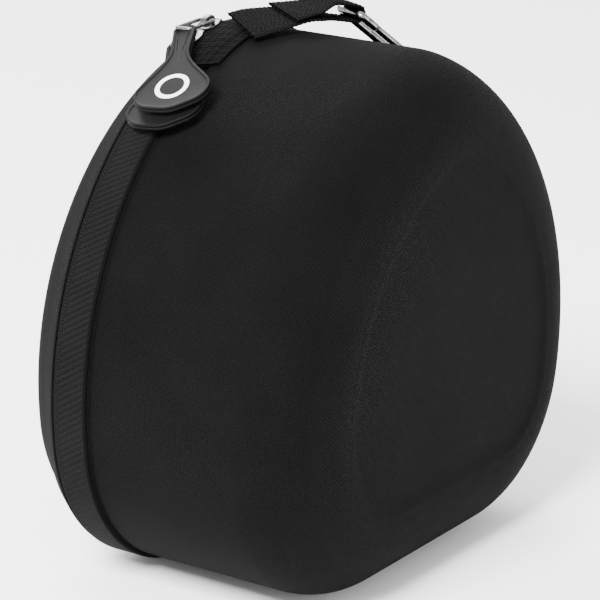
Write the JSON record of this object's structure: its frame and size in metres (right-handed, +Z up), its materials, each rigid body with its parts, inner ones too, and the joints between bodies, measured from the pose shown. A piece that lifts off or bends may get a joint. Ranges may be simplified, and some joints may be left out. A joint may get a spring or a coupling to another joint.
{
  "type": "headphone carrying case",
  "caption": "Hard-shell zipped headphone carrying case with a deep front half, a shallow hinged lid, a clip strap and a lined interior.",
  "frame": {"origin": "the middle of the closed case's footprint, level with the lowest point of the zipper ring", "axes": "+Z up, +X to the right when looking at the front face, +Y from the front face towards the lid"},
  "size_m": [0.209, 0.129, 0.2063],
  "materials": {
    "cover_fabric": "fine stretch-woven black fabric, matte",
    "shell_foam": "moulded EVA foam, hidden",
    "lining_fabric": "soft brushed black lining",
    "binding_tape": "woven binding tape, matte",
    "zip_tape": "coarse twill zipper tape, matte black",
    "zip_coil": "black nylon coil",
    "slider_metal": "gunmetal plating, worn bright on the edges",
    "soft_pull": "soft moulded PVC, matte dark grey",
    "webbing": "ribbed polypropylene webbing",
    "clip_metal": "gunmetal-plated steel wire, glossy",
    "mesh": "open black mesh",
    "hem_elastic": "folded elastic hem"
  },
  "bodies": {
    "lid": {"lid_cover": "cover_fabric", "lid_foam": "shell_foam", "lid_lining": "lining_fabric", "lid_binding": "binding_tape", "lid_zip_tape": "zip_tape", "lid_coil": "zip_coil", "hinge_strip_back": "zip_tape", "mesh_pocket": "mesh", "pocket_hem": "hem_elastic"},
    "left_slider": {"slider_left": "slider_metal"},
    "left_pull": {"pull_link_left": "slider_metal", "puller_left": "soft_pull"},
    "right_slider": {"slider_right": "slider_metal"},
    "right_pull": {"pull_link_right": "slider_metal", "puller_right": "soft_pull"},
    "strap": {"clip_strap": "webbing"},
    "clip": {"clip_body": "clip_metal"},
    "gate": {"clip_gate": "clip_metal"},
    "front_half": {"front_cover": "cover_fabric", "front_foam": "shell_foam", "front_lining": "lining_fabric", "front_binding": "binding_tape", "front_zip_tape": "zip_tape", "front_coil": "zip_coil", "hinge_strip_front": "zip_tape", "zipper_end_stops": "zip_coil", "strap_anchor": "webbing", "centre_pillar": "lining_fabric"}
  },
  "joints": [
    {"name": "lid_hinge", "type": "hinge", "parent": "front_half", "child": "lid", "pos_m": [0, 0.0405, -0.0003], "axis": [-1, 0, 0], "range_deg": [0, 180]},
    {"name": "slider_left_travel", "type": "hinge", "parent": "front_half", "child": "left_slider", "pos_m": [0.02209, 0.0405, 0.0738], "axis": [0, -1, 0], "range_deg": [0, 70]},
    {"name": "slider_right_travel", "type": "hinge", "parent": "front_half", "child": "right_slider", "pos_m": [0, 0.0405, 0.1345], "axis": [0, 1, 0], "range_deg": [0, 22]},
    {"name": "puller_left_swing", "type": "hinge", "parent": "left_slider", "child": "left_pull", "pos_m": [-0.02415, 0.0405, 0.19427], "axis": [-0.1213, 0.9915, -0.0466], "range_deg": [0, 90]},
    {"name": "puller_right_swing", "type": "hinge", "parent": "right_slider", "child": "right_pull", "pos_m": [-0.01163, 0.0405, 0.19789], "axis": [-0.1391, 0.9899, -0.0255], "range_deg": [0, 90]},
    {"name": "strap_lift", "type": "hinge", "parent": "front_half", "child": "strap", "pos_m": [-0.012, 0.025, 0.19773], "axis": [-0.454, -0.891, 0], "range_deg": [0, 100]},
    {"name": "clip_swing", "type": "hinge", "parent": "strap", "child": "clip", "pos_m": [0.02916, 0.00403, 0.19953], "axis": [-0.454, -0.891, 0], "range_deg": [0, 100]},
    {"name": "gate_swing", "type": "hinge", "parent": "clip", "child": "gate", "pos_m": [0.03164, -0.00622, 0.19417], "axis": [0.5486, -0.2795, 0.788], "range_deg": [0, 25], "stiffness_Nm_per_rad": 0.02, "springref_deg": -8.59}
  ],
  "couplings": [
    {"joint": "puller_right_swing", "follows": "puller_left_swing", "ratio": 1}
  ]
}
